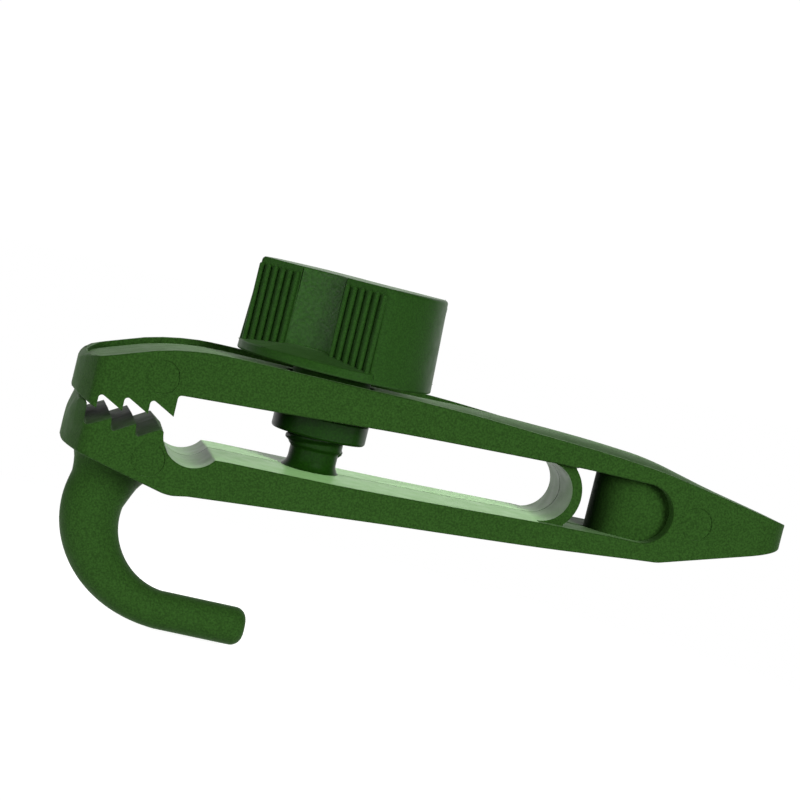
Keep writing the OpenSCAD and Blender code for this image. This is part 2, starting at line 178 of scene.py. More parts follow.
def upperTeeth():
    r = teeth["rootR"]
    out = []
    for tip, after in zip(teeth["tips"], teeth["tips"][1:]):
        c = (tip[0] + r, tip[1] + teeth["rootLift"])
        out += [tip] + arc(*c, r, 180, touchAngle(c, r, after, 1), 8)
    tip, last = teeth["tips"][-1], teeth["lastRootR"]
    return out + [tip] + arc(tip[0] + last, teeth["lastRootTop"] - last, last, 180, 92, 6)


def lowerTeeth():
    r, ridges = teeth["lowerRootR"], teeth["ridges"]
    out = []
    starts = [teeth["lowerFrom"]] + [x for x, z in ridges[:-1]]
    for x, after in zip(starts, ridges):
        c = (x + teeth["lowerRootShift"] + r, after[1] - teeth["lowerRootDrop"] + r)
        out += arc(*c, r, 180, 360 + touchAngle(c, r, after, -1), 8) + [after]
    return out


def webCircle():
    # radius and middle height of the web's inner face, half a circle in the side view
    top, low = moulding["webTop"], moulding["webLow"]
    return (top - low) / 2, (top + low) / 2


def sideOutline():
    # closed loop round the moulding, each point with how far its wall drafts towards the middle
    m = moulding
    ceiling = smoothLine([(-3.15, 5.45), (13.0, 6.33), (30.0, 7.25), (m["webX"], m["webTop"])],
                         3.0)
    webR, webZ = webCircle()
    web = arc(m["webX"], webZ, webR, 90, -90, 28)[1:-1]
    floor = smoothLine([(m["webX"], -1.32), (30.0, -2.1), (3.71, -2.58)], 3.0)[:-1]
    a = math.degrees(math.asin(2.63 / m["cradleR"]))
    cradle = rounded([(6.0, -2.66), (3.71, -2.63), (3.4, -3.0)], 0.45, 4)[1:-1]
    cradle += arc(0, 0, m["cradleR"], -a - 4, -176, 34)
    lower = list(reversed(lowerTeeth()))
    beak = rounded([(-16.2, -0.9), (-16.15, 1.35), (-17.15, 1.7), (-18.2, -1.2), (-18.4, -3.6),
                    (-18.3, -5.6), (-14.8, -6.15), (-8.5, -7.65)],
                   [0, 0.4, 0.7, 3, 3, 0.5, 8, 0], 5)[1:-1]
    chin = rounded([(-8.5, -7.6), (-2.1, -9.2), (4.0, -8.5)], [0, 6.5, 0], 8)[1:-1]
    belly = smoothLine([(1.0, -8.72), (25.0, -6.85), (54.7, -4.97), (70.0, -3.63)], 3.0)
    heel = rounded([(68.0, -3.81), (73.2, -3.35), (78.0, -1.9)], [0, 6, 0], 6)[1:-1]
    tail = rounded([(78.0, -1.9), (m["tailReach"], 2.45), (m["tailReach"], 6.3), (82.0, 8.38)],
                   [0, 0.7, 0.7, 0], 5)[1:-1]
    top = list(reversed(smoothLine(topPoints[:-1], 2.0)))[1:]
    nose = rounded([(-14.49, 8.83), (-17.6, 7.8), (-18.55, 6.5), (-18.55, 2.35), (-14.86, 1.0)],
                   [0, 1.2, 1.5, 0.3, 0], 5)[1:-1]
    parts = [(upperTeeth(), 0.5), (ceiling[1:], 1), (web, 1), (floor, 1), (cradle, 1),
             (lower, 0.5), (beak, 0), (chin, 0), (belly, 0), (heel, 0), (tail, 0), (top, 0),
             (nose, 0)]
    return [(x, z, w) for points, w in parts for x, z in points]


def gapOutline():
    # the see-through gap between the web and the tail, with its round end
    m = moulding
    inner, webZ = webCircle()
    webR = inner + m["webT"]
    up = math.degrees(math.asin((m["webTop"] - webZ) / webR))
    down = math.degrees(math.asin((-1.15 - webZ) / webR))
    r = (m["webTop"] - m["pocketLow"]) / 2
    points = arc(m["webX"], webZ, webR, down, up, 22)
    points += [(62.0, 8.02), (66.0, 8.01)]
    points += arc(m["pocketX"], m["webTop"] - r, r, 90, -90, 30)
    points += [(66.0, -0.92), (62.0, -1.03)]
    return [(x, z, 0.7) for x, z in points]


def webOutline():
    # side view of the web between the arms, from which its sides are cut back
    m = moulding
    inner, webZ = webCircle()
    r = inner + m["webT"] + m["webCutX"]
    high = 7.98
    up = math.degrees(math.asin((high - webZ) / r))
    down = math.degrees(math.asin((-1.2 - webZ) / r))
    points = [(m["webX"], high)] + arc(m["webX"], webZ, r, up, down, 20) + [(m["webX"], -1.27)]
    return [(x, z, 0) for x, z in points]


def halfWidth(x):
    m = moulding
    share = min(1, max(0, (x - m["taperFrom"]) / (m["taperTo"] - m["taperFrom"])))
    return m["headHalf"] + (m["tailHalf"] - m["headHalf"]) * share


def planOutline(inset):
    # outline from above: bowed nose, straight taper and round tail corners
    m = moulding
    bowR, bowX = m["noseR"] - inset, m["noseR"] - m["noseReach"]
    cy = m["headHalf"] - m["noseCornerR"]
    reach = m["noseR"] - m["noseCornerR"]
    cx = bowX - math.sqrt(reach ** 2 - cy ** 2)
    turn = math.degrees(math.atan2(cy, bowX - cx))
    half, tailHalf = m["headHalf"] - inset, m["tailHalf"] - inset
    ex, ey = m["tailReach"] - m["tailCornerR"], m["tailHalf"] - m["tailCornerR"]
    side = arc(bowX, 0, bowR, 180, 180 - turn, 14)[:-1]
    side += arc(cx, cy, m["noseCornerR"] - inset, 180 - turn, 90, 8)
    side += [(m["taperFrom"], half), (m["taperTo"], tailHalf)]
    side += arc(ex, ey, m["tailCornerR"] - inset, 90, 0, 12)
    return side + [(x, -y) for x, y in reversed(side) if abs(y) > 1e-6]


def newObject(name, bm):
    mesh = bpy.data.meshes.new(name)
    bmesh.ops.recalc_face_normals(bm, faces=bm.faces)
    bm.to_mesh(mesh)
    bm.free()
    piece = bpy.data.objects.new(name, mesh)
    bpy.context.collection.objects.link(piece)
    return piece


def sweepAcross(name, outline, reach, draft, direction):
    # a side-view outline swept across the clip with its draft and a fine parting line
    bm = bmesh.new()
    n = len(outline)
    offsets = []
    for i, (x, z, w) in enumerate(outline):
        a, b = Vector(outline[i - 1][:2]), Vector(outline[(i + 1) % n][:2])
        t = (b - a).normalized()
        offsets.append(Vector((t.y, -t.x)) * w * draft * direction)
    rows = []
    m = moulding
    for y in (-reach, -m["lineHalf"], 0.0, m["lineHalf"], reach):
        k = 1 - abs(y) / m["headHalf"] if y else m["lineShare"]
        rows.append([bm.verts.new(((x + o.x * k) * mm, y * mm, (z + o.y * k) * mm))
                     for (x, z, w), o in zip(outline, offsets)])
    for r0, r1 in zip(rows, rows[1:]):
        for i in range(n):
            bm.faces.new((r0[i], r0[(i + 1) % n], r1[(i + 1) % n], r1[i]))
    bm.faces.new(rows[0])
    bm.faces.new(list(reversed(rows[-1])))
    return newObject(name, bm)


def liftPlan(name, outline, low, high):
    bm = bmesh.new()
    n = len(outline)
    rows = [[bm.verts.new((x * mm, y * mm, z * mm)) for x, y in outline]
            for z in (low, high)]
    for i in range(n):
        bm.faces.new((rows[0][i], rows[0][(i + 1) % n], rows[1][(i + 1) % n], rows[1][i]))
    bm.faces.new(rows[0])
    bm.faces.new(rows[1])
    return newObject(name, bm)


def plainMesh(piece):
    # the evaluated mesh takes the place of the piece's mesh and modifiers
    graph = bpy.context.evaluated_depsgraph_get()
    mesh = bpy.data.meshes.new_from_object(piece.evaluated_get(graph), depsgraph=graph)
    piece.modifiers.clear()
    old = piece.data
    piece.data = mesh
    bpy.data.meshes.remove(old)
    return piece


def combine(piece, other, operation):
    mod = piece.modifiers.new("cut", "BOOLEAN")
    mod.operation = operation
    mod.solver = "EXACT"
    mod.object = other
    plainMesh(piece)
    bpy.data.objects.remove(other)
    return piece


def column(name, x, r, span, steps=96):
    turns = [2 * math.pi * i / steps for i in range(steps)]
    return liftPlan(name, [(x + r * math.cos(t), r * math.sin(t)) for t in turns], *span)


def tailWall():
    # what stays solid behind the tail's round column
    x0, x1, y = moulding["columnX"], moulding["tailWallX"], moulding["columnR"]
    return liftPlan("tailWall", [(x0, -y), (x1, -y), (x1, y), (x0, y)], *spans["gap"])


def makeBlank():
    m = moulding
    blank = sweepAcross("mouldingBlank", sideOutline(), m["blankHalf"], m["draft"], 1)
    gap = sweepAcross("mouldingGap", gapOutline(), m["blankHalf"], m["draft"], -1)
    combine(gap, column("tailPost", m["columnX"], m["columnR"], spans["gap"]), "DIFFERENCE")
    combine(gap, tailWall(), "DIFFERENCE")
    combine(blank, gap, "DIFFERENCE")
    combine(blank, liftPlan("planBlank", planOutline(0), *spans["moulding"]), "INTERSECT")
    webSides = sweepAcross("webSides", webOutline(), m["blankHalf"], 0, 1)
    webPlan = liftPlan("webPlan", planOutline(m["webRecess"]), *spans["web"])
    combine(webSides, webPlan, "DIFFERENCE")
    return combine(blank, webSides, "DIFFERENCE")


body = makeBlank()
print("moulding blank", len(body.data.polygons))

# the back between its rims: sunk over the jaw, a low ridge towards the tail
channel = {
    "rimWidth": 1.2, "depth": 0.9, "groove": 0.32, "deepTo": 30.0, "shallowFrom": 58.0,
    "from": -19.0, "to": 91.4, "steps": 90, "half": 13.0, "top": 18.0, "across": 20,
    "crownHalf": 11.8, "crownTaper": 3.5, "crownTaperFrom": 21, "crownTaperLength": 40,
    "crownPower": 3, "crownLeast": -0.1,
    "ridgeFrom": 34.0, "ridgeTo": 91.0, "ridgeSteps": 60, "ridgeHalf": 12.0, "ridgeSlab": 1.5,
    "ridgeGap": 0.05,
}
# height of the middle over the top line, along the clip
backRise = [(-20.0, -0.6), (31.0, -0.55), (41.0, 0.1), (49.0, 0.45), (56.0, 0.62), (62.0, 0.72),
            (69.0, 0.82), (72.5, 0.7), (76.0, 0.45), (79.5, 0.22), (83.0, 0.1), (92.0, 0.05)]


def backLine():
    return smoothLine([(-19.5, 6.9)] + topPoints, 2.0)


def smoothStep(a, b, x):
    t = min(1, max(0, (x - a) / (b - a)))
    return t * t * (3 - 2 * t)


def channelSunk(x):
    # how far the floor beside the rims lies under them, and how far its middle rises from there
    c = channel
    deep = 1 - smoothStep(c["deepTo"], c["shallowFrom"], x)
    sunk = c["groove"] + (c["depth"] - c["groove"]) * deep
    return sunk, sunk + lerp(backRise, x)


def gridSolid(name, xs, half, lowOf, highOf, across=12):
    # a closed solid over a grid in plan, its lower and upper heights given by place
    bm = bmesh.new()
    ys = [half * (2 * k / across - 1) for k in range(across + 1)]
    low, high = [[[bm.verts.new((x * mm, y * mm, of(x, y) * mm)) for y in ys] for x in xs]
                 for of in (lowOf, highOf)]
    for grid in (low, high):
        for r0, r1 in zip(grid, grid[1:]):
            for k in range(across):
                bm.faces.new((r0[k], r0[k + 1], r1[k + 1], r1[k]))
    for k in (0, across):
        for i in range(len(xs) - 1):
            bm.faces.new((low[i][k], low[i + 1][k], high[i + 1][k], high[i][k]))
    for i in (0, -1):
        for k in range(across):
            bm.faces.new((low[i][k], low[i][k + 1], high[i][k + 1], high[i][k]))
    return newObject(name, bm)


def raisedBack():
    # material over the top line, from which the channel's cutter leaves the ridge
    c, line = channel, backLine()
    length, steps = c["ridgeTo"] - c["ridgeFrom"], c["ridgeSteps"]
    xs = [c["ridgeFrom"] + length * i / steps for i in range(steps + 1)]
    blank = gridSolid("raisedBack", xs, c["ridgeHalf"],
                      lambda x, y: lerp(line, x) - c["ridgeSlab"],
                      lambda x, y: lerp(line, x) + c["ridgeSlab"])
    plan = liftPlan("backPlan", planOutline(c["rimWidth"] + c["ridgeGap"]), *spans["back"])
    return combine(blank, plan, "INTERSECT")


def channelBlank():
    c, line = channel, backLine()
    length, steps = c["to"] - c["from"], c["steps"]
    xs = [c["from"] + i * length / steps for i in range(steps + 1)]

    def floorAt(x, y):
        sunk, crown = channelSunk(x)
        taper = min(1, max(0, (x - c["crownTaperFrom"]) / c["crownTaperLength"]))
        half = c["crownHalf"] - c["crownTaper"] * taper
        shape = max(c["crownLeast"], 1 - abs(y / half) ** c["crownPower"])
        return lerp(line, x) - sunk + crown * shape

    blank = gridSolid("channelBlank", xs, c["half"], floorAt, lambda x, y: c["top"], c["across"])
    plan = liftPlan("channelPlan", planOutline(c["rimWidth"]), *spans["back"])
    return combine(blank, plan, "INTERSECT")


combine(body, raisedBack(), "UNION")
combine(body, channelBlank(), "DIFFERENCE")
hubHole = column("hubHole", moulding["studX"], moulding["holeR"], spans["hubHole"])
combine(body, hubHole, "DIFFERENCE")
print("back and hub hole", len(body.data.polygons))

# hook: a round bar that thins towards its end
hookSizes = {
    "bendR": 8.95, "bendX": 1.95, "bendZ": -16.05, "bendFrom": 166, "bendTo": 270,
    "rootD": 9.2, "tipD": 5.85, "tipX": 15.35, "endR": 1.8,
    "tighter": 0.5,  # how much the middle of the bend pulls in
    "sides": 64, "bendSteps": 40, "flatSteps": 6, "endSteps": 8,
    # the flared root: x, z, diameter and tilt of each ring
    "root": [(-9.9, -6.4, 15.6, -12), (-9.9, -6.9, 14.2, -12), (-9.95, -7.5, 12.9, -12),
             (-10.05, -8.2, 11.75, -12), (-10.2, -9.0, 10.85, -11), (-10.38, -9.9, 10.15, -10),
             (-10.62, -11.0, 9.6, -11)],
}


def hookRings():
    h = hookSizes
    rings = list(h["root"])
    for i in range(h["bendSteps"] + 1):
        t = i / h["bendSteps"]
        tilt = h["bendFrom"] + (h["bendTo"] - h["bendFrom"]) * t
        d = h["rootD"] + (h["tipD"] - h["rootD"]) * t * t * (3 - 2 * t)
        r = h["bendR"] + d / 2 - h["tighter"] * math.sin(math.pi * t)
        a = math.radians(tilt)
        rings.append((h["bendX"] + r * math.cos(a), h["bendZ"] + r * math.sin(a), d, tilt - 180))
    z = h["bendZ"] - h["bendR"] - h["tipD"] / 2
    flat, n = h["tipX"] - h["endR"], h["flatSteps"]
    rings += [(h["bendX"] + (flat - h["bendX"]) * i / n, z, h["tipD"], 90)
              for i in range(1, n + 1)]
    for i in range(1, h["endSteps"] + 1):
        a = math.radians(90 * i / h["endSteps"])
        d = h["tipD"] - 2 * h["endR"] * (1 - math.cos(a))
        rings.append((flat + h["endR"] * math.sin(a), z, d, 90))
    return rings


def hookBlank():
    bm = bmesh.new()
    n = hookSizes["sides"]
    rows = []
    for x, z, d, tilt in hookRings():
        t = math.radians(tilt)
        row = []
        for k in range(n):
            a = 2 * math.pi * k / n
            out = d / 2 * math.cos(a)
            row.append(bm.verts.new(((x + out * math.cos(t)) * mm, d / 2 * math.sin(a) * mm,
                                     (z + out * math.sin(t)) * mm)))
        rows.append(row)
    for r0, r1 in zip(rows, rows[1:]):
        for k in range(n):
            bm.faces.new((r0[k], r0[(k + 1) % n], r1[(k + 1) % n], r1[k]))
    bm.faces.new(rows[0])
    bm.faces.new(rows[-1])
    return newObject("hookBlank", bm)


combine(body, hookBlank(), "UNION")
print("hook joined", len(body.data.polygons))

# rounded edges, then the moulding is parted where the upper arm meets the tail and the web
mergeGap = 0.004  # points nearer than this are merged
# what stays sharp or nearly so: ranges of x and z and the widest y
edgeZones = {
    "lineHalf": 0.2, "lineTurn": 0.5,
    "teethX": (-16.25, -2.9), "teethZ": (-2.4, 5.62), "teethHalf": 13.2,
    "webX": (53, 61.5), "webZ": (-1.8, 8.4),
    "rimInset": 0.9, "rimFrom": -17.0, "rimDepth": 1.3, "hubR": 8, "rimShare": 0.4,
}


def roundEdges(piece, width, segments, angle, share=None):
    # every convex edge over the angle is rounded; share gives an edge's part of the width
    bm = bmesh.new()
    bm.from_mesh(piece.data)
    bmesh.ops.remove_doubles(bm, verts=bm.verts, dist=mergeGap * mm)
    bmesh.ops.dissolve_degenerate(bm, edges=bm.edges, dist=mergeGap * mm)
    weights = bm.edges.layers.float.new("bevel_weight_edge")
    for e in bm.edges:
        corner = len(e.link_faces) == 2 and e.is_convex
        if corner and e.calc_face_angle(0) > math.radians(angle):
            a, b = (v.co / mm for v in e.verts)
            e[weights] = share((a + b) / 2, (b - a).normalized()) if share else 1.0
    bm.to_mesh(piece.data)
    bm.free()
    mod = piece.modifiers.new("edges", "BEVEL")
    mod.width = width * mm
    mod.segments = segments
    mod.limit_method = "WEIGHT"
    mod.use_clamp_overlap = False
    mod.miter_outer = "MITER_SHARP"
    plainMesh(piece)
    bm = bmesh.new()
    bm.from_mesh(piece.data)
    bmesh.ops.triangulate(bm, faces=[f for f in bm.faces if len(f.verts) > 4])
    bm.to_mesh(piece.data)
    bm.free()
    return piece


def edgeShare(middle, way):
    # the parting line, the teeth and the web's sides stay sharp, the rim's inner edges nearly so
    x, y, z = middle
    e = edgeZones
    inside = abs(y) < halfWidth(x) - e["rimInset"]
    if abs(y) < e["lineHalf"] and abs(way.y) < e["lineTurn"]:
        return 0.0
    if (e["teethX"][0] < x < e["teethX"][1] and e["teethZ"][0] < z < e["teethZ"][1]
            and abs(y) < e["teethHalf"]):
        return 0.0
    if inside and e["webX"][0] < x < e["webX"][1] and e["webZ"][0] < z < e["webZ"][1]:
        return 0.0
    nearTop = z > lerp(topPoints, x) - e["rimDepth"]
    offHub = math.hypot(x - moulding["studX"], y) > e["hubR"]
    if inside and x > e["rimFrom"] and nearTop and offHub:
        return e["rimShare"]
    return 1.0


roundEdges(body, moulding["edgeR"], moulding["edgeSteps"], moulding["edgeAngle"], edgeShare)
print("edges rounded", len(body.data.polygons))

# round ejector marks, thinly sunk into the front faces; each is x, z and the face's y
marks = {
    "radius": 2.5, "depth": 0.18, "sides": 64, "over": 1,
    "upper": [(-6.54, 7.48, -13.0)],
    "lower": [(-5.87, -4.65, -13.0), (77.57, 3.76, -9.5)],
}


def sinkMark(piece, x, z, y):
    bm = bmesh.new()
    r, n = marks["radius"], marks["sides"]
    ring = [(x + r * math.cos(2 * math.pi * i / n), z + r * math.sin(2 * math.pi * i / n))
            for i in range(n)]
    rows = [[bm.verts.new((px * mm, py * mm, pz * mm)) for px, pz in ring]
            for py in (y - marks["over"], y + marks["depth"])]
    for i in range(n):
        bm.faces.new((rows[0][i], rows[0][(i + 1) % n], rows[1][(i + 1) % n], rows[1][i]))
    bm.faces.new(rows[0])
    bm.faces.new(rows[1])
    combine(piece, newObject("markCutter", bm), "DIFFERENCE")


def copyOf(piece, name):
    twin = bpy.data.objects.new(name, piece.data.copy())
    bpy.context.collection.objects.link(twin)
    return twin


def partingSolid():
    # everything over the mouth and the slot, as far back as the web
    line = [(-25, 3.4), (-19, 2.95), (-17.15, 1.95), (-16.1, 1.45), (-15, 0.6), (-3, 1.2),
            (4, 2.2), (50, 3.4), (60, 3.4), (60, 18), (-25, 18)]
    outline = [(x, z, 0) for x, z in line]
    return sweepAcross("partingSolid", outline, moulding["partingHalf"], 0, 1)


def finishShading(piece, angle, middle=False):
    # flat faces stay flat, rounded edges stay soft, and the parting line stays crisp
    onLine, cornerWeight = 2e-6, 80
    mesh = piece.data
    for poly in mesh.polygons:
        poly.use_smooth = True
    mesh.set_sharp_from_angle(angle=math.radians(angle))
    if middle:
        sharp = mesh.attributes.get("sharp_edge")
        sharp = sharp or mesh.attributes.new("sharp_edge", "BOOLEAN", "EDGE")
        for e in mesh.edges:
            if all(abs(mesh.vertices[v].co.y) < onLine for v in e.vertices):
                sharp.data[e.index].value = True
    mod = piece.modifiers.new("normals", "WEIGHTED_NORMAL")
    mod.keep_sharp = True
    mod.weight = cornerWeight
    return plainMesh(piece)


upper = copyOf(body, "upperMoulding")
combine(upper, partingSolid(), "INTERSECT")
lower = copyOf(body, "lowerMoulding")
combine(lower, partingSolid(), "DIFFERENCE")
bpy.data.objects.remove(body)
for mark in marks["upper"]:
    sinkMark(upper, *mark)
for mark in marks["lower"]:
    sinkMark(lower, *mark)
finishShading(upper, moulding["creaseAngle"], True)
finishShading(lower, moulding["creaseAngle"], True)
print("moulding parted", len(upper.data.polygons), len(lower.data.polygons))

# stud with its fillet at the foot and a coarse rounded thread
studSizes = {
    "neckR": 3.72, "coreR": 4.1, "crestR": 4.78, "pitch": 2.5, "startZ": 1.05, "endZ": 22.5,
    "footZ": -2.5, "footR": 1.9, "footLift": 0.1, "neckEnd": (0.95, 1.45),
    "crestHalf": (0.18, 0.8), "startTurns": (-0.03, 0.06), "endTaper": 0.8, "endDrop": 0.5,
    "levelStep": 0.16, "steps": 96, "creaseAngle": 40,
}


def studRadius(z, turn):
    # radius at a height and at a part of a turn round the stud
    s = studSizes
    foot = s["footZ"] + s["footLift"] + s["footR"]
    if z < foot:
        return s["neckR"] + s["footR"] - math.sqrt(max(0, s["footR"] ** 2 - (foot - z) ** 2))
    core = s["neckR"] + (s["coreR"] - s["neckR"]) * smoothStep(*s["neckEnd"], z)
    along = (z - s["startZ"]) / s["pitch"] - turn
    n = round(along)
    near = abs(along - n) * s["pitch"]
    grow = smoothStep(*s["startTurns"], n + turn) if n <= 0 else 1
    last = smoothStep(s["endZ"], s["endZ"] - s["endTaper"], z)
    full = 1 - smoothStep(*s["crestHalf"], near)
    crest = (s["crestR"] - core) * full * (grow if n >= 0 else 0)
    return core + crest - s["endDrop"] * (1 - last)


def studMesh():
    s = studSizes
    bm = bmesh.new()
    n, step = s["steps"], s["levelStep"]
    count = int((s["endZ"] - s["footZ"]) / step) + 1
    rows = []
    for z in [s["footZ"] + i * step for i in range(count)] + [s["endZ"]]:
        row = []
        for k in range(n):
            r, a = studRadius(z, k / n), 2 * math.pi * k / n
            x, y = moulding["studX"] + r * math.cos(a), r * math.sin(a)
            row.append(bm.verts.new((x * mm, y * mm, z * mm)))
        rows.append(row)
    for r0, r1 in zip(rows, rows[1:]):
        for k in range(n):
            bm.faces.new((r0[k], r0[(k + 1) % n], r1[(k + 1) % n], r1[k]))
    bm.faces.new(rows[0])
    bm.faces.new(rows[-1])
    return newObject("stud", bm)


stud = studMesh()
finishShading(stud, studSizes["creaseAngle"])
print("stud", len(stud.data.polygons))


# knob and retaining collar, turned about the stud's axis
def lathe(name, profile, steps=128):
    # closed profile of (radius, height) points; a point on the axis is one vertex
    bm = bmesh.new()
    columns = []
    poles = {}
    for k in range(steps):
        # half a step off, so that no corner of the grip meets a point of the ring
        a = 2 * math.pi * (k + 0.5) / steps
        row = []
        for i, (r, z) in enumerate(profile):
            if r == 0:
                if i not in poles:
                    poles[i] = bm.verts.new((moulding["studX"] * mm, 0, z * mm))
                row.append(poles[i])
            else:
                x, y = moulding["studX"] + r * math.cos(a), r * math.sin(a)
                row.append(bm.verts.new((x * mm, y * mm, z * mm)))
        columns.append(row)
    n = len(profile)
    for k in range(steps):
        c0, c1 = columns[k], columns[(k + 1) % steps]
        for i in range(n):
            j = (i + 1) % n
            loop = [c0[i], c1[i], c1[j], c0[j]]
            loop = [v for at, v in enumerate(loop) if v not in loop[:at]]
            if len(loop) > 2:
                bm.faces.new(loop)
    return newObject(name, bm)


collarSizes = {"outerR": 7.25, "boreR": 6.05, "lowZ": 3.1, "topZ": 6.2,
               "edgeR": 0.5, "topEdgeR": 0.2, "creaseAngle": 30}
knobSizes = {
    "baseR": 15.0, "topR": 14.38, "lowZ": 13.35, "topZ": 27.6, "ringH": 1.45, "ledgeH": 1.3,
    "gripHalf": 8.9, "gripTurn": -40, "scoopW": 8.0, "scoopD": 1.1,
    "edgeR": 0.55, "footR": 0.3, "gripEdgeR": 0.22, "gripEdgeAngle": 24, "creaseAngle": 30,
    "hubR": 6.0, "hubLowZ": 3.1, "hubEdge": 0.1, "lipT": 0.3, "lipH": 0.5, "lipEdge": 0.2,
    "boreR": 5.05, "boreTopZ": 24.0, "boreCone": 1.2,
}


def makeCollar():
    c = collarSizes
    low, high = c["edgeR"], c["topEdgeR"]
    profile = [(c["boreR"], c["lowZ"])]
    profile += arc(c["outerR"] - low, c["lowZ"] + low, low, -90, 0, 5)
    profile += arc(c["outerR"] - high, c["topZ"] - high, high, 0, 90, 3)
    profile += [(c["boreR"], c["topZ"])]
    return finishShading(lathe("retainingCollar", profile), c["creaseAngle"])


def makeKnob():
    k = knobSizes
    top = arc(k["topR"] - k["edgeR"], k["topZ"] - k["edgeR"], k["edgeR"], 90, 2, 6)
    foot = arc(k["baseR"] - k["footR"], k["lowZ"] + k["footR"], k["footR"], 0, -90, 4)
    profile = [(0, k["topZ"])] + top + foot
    hub, lip, low = k["hubR"], k["hubR"] + k["lipT"], k["hubLowZ"]
    profile += [(hub, k["lowZ"]), (hub, low + k["lipH"]), (lip, low + k["lipH"]),
                (lip, low + k["lipEdge"]), (hub + k["hubEdge"], low), (k["boreR"], low),
                (k["boreR"], k["boreTopZ"]), (0, k["boreTopZ"] + k["boreCone"])]
    blank = lathe("knob", profile)
    ledgeZ = k["lowZ"] + k["ringH"]
    rise = k["ledgeH"] / (k["baseR"] - k["gripHalf"])
    for half in (0, 180):
        combine(blank, gripCutter(ledgeZ, rise, k["gripTurn"] + half), "DIFFERENCE")
    roundEdges(blank, k["gripEdgeR"], 3, k["gripEdgeAngle"])
    return finishShading(blank, k["creaseAngle"])


def gripCutter(ledgeZ, rise, turn):
    # the flat and the thumb scoop, over a ledge that rises towards the stud
    k = knobSizes
    flatXs, outerY, overZ, steps = (16.5, 14, 12), -17, 30, 6
    scoopR = ((k["scoopW"] / 2) ** 2 + k["scoopD"] ** 2) / (2 * k["scoopD"])
    edge = math.degrees(math.asin(k["scoopW"] / 2 / scoopR))
    middle = k["gripHalf"] - k["scoopD"] + scoopR
    scoop = [(x, -y) for x, y in arc(0, middle, scoopR, -90 - edge, -90 + edge, 20)]
    inner = [(-x, -k["gripHalf"]) for x in flatXs] + scoop
    inner += [(x, -k["gripHalf"]) for x in reversed(flatXs)]
    bm = bmesh.new()
    t = math.radians(turn)

    def place(x, y, z):
        return bm.verts.new(((moulding["studX"] + x * math.cos(t) - y * math.sin(t)) * mm,
                             (x * math.sin(t) + y * math.cos(t)) * mm, z * mm))

    lows, tops = [], []
    for i in range(steps + 1):
        low, top = [], []
        for x, innerY in inner:
            y = innerY + (outerY - innerY) * i / steps
            fromEdge = k["baseR"] - max(math.hypot(x, y), k["gripHalf"])
            low.append(place(x, y, ledgeZ + rise * fromEdge))
            top.append(place(x, y, overZ))
        lows.append(low)
        tops.append(top)
    n = len(inner)
    for grid in (lows, tops):
        for a, b in zip(grid, grid[1:]):
            for j in range(n - 1):
                bm.faces.new((a[j], a[j + 1], b[j + 1], b[j]))
    for i in (0, -1):
        for j in range(n - 1):
            bm.faces.new((lows[i][j], lows[i][j + 1], tops[i][j + 1], tops[i][j]))
    for i in range(steps):
        for j in (0, -1):
            bm.faces.new((lows[i][j], lows[i + 1][j], tops[i + 1][j], tops[i][j]))
    bmesh.ops.triangulate(bm, faces=bm.faces)
    return newObject("gripCutter", bm)


collar = makeCollar()
knob = makeKnob()
print("knob and collar", len(knob.data.polygons), len(collar.data.polygons))

# finishes: one moulded plastic, grained outside, coarser in the scoops; the slot's copy is
# smoother and painted lighter as a painted reflection, the stud's and collar's copy painted darker
# as painted shade
plastics = {
    "mouldedPlastic": {"colour": (0.0210, 0.0610, 0.0105), "spread": 0.26, "rough": (0.46, 0.58),
                       "grain": 0.42, "size": 3600, "level": 0.04, "sheen": 0.10},
    # the slot's copy: its lighter, greener colour is a painted reflection of the bright wall at
    # grazing angles
    "slotPaintedReflection": {"colour": (0.050, 0.130, 0.025), "spread": 0.20, "rough": (0.30, 0.40),
                    "grain": 0.12, "size": 3600, "level": 0.22, "sheen": 0.42},
    "knobPlastic": {"colour": (0.0155, 0.0530, 0.0075), "spread": 0.20, "rough": (0.36, 0.48),
                    "grain": 0.16, "size": 3800, "level": 0.15, "sheen": 0.06},
    "scoopPlastic": {"colour": (0.017, 0.061, 0.008), "spread": 0.22, "rough": (0.32, 0.44),
                     "grain": 1.0, "size": 2200, "level": 0.50, "sheen": 0.05},
    # the stud and collar: the moulding's green painted much darker, painted shade between the arms
    "screwPaintedShade": {"colour": (0.007, 0.034, 0.0025), "spread": 0.20, "rough": (0.30, 0.42),
                     "grain": 0.16, "size": 3200, "level": 0.20, "sheen": 0.03},
}
# what all of them share; the grain's height is in metres
resin = {"ior": 1.46, "sheenRough": 0.35, "sheenTint": (0.55, 1.0, 0.42, 1),
         "grainHeight": 0.00006, "grainShare": 0.9, "speckle": (0.36, 0.64),
         "wearSize": 420, "wear": (0.3, 0.7)}


def addMaths(tree, operation, a, b):
    # a maths node whose inputs are numbers or other nodes' outputs
    node = tree.nodes.new("ShaderNodeMath")
    node.operation = operation
    for i, value in enumerate((a, b)):
        if isinstance(value, (int, float)):
            node.inputs[i].default_value = value
        else:
            tree.links.new(value, node.inputs[i])
    return node.outputs["Value"]


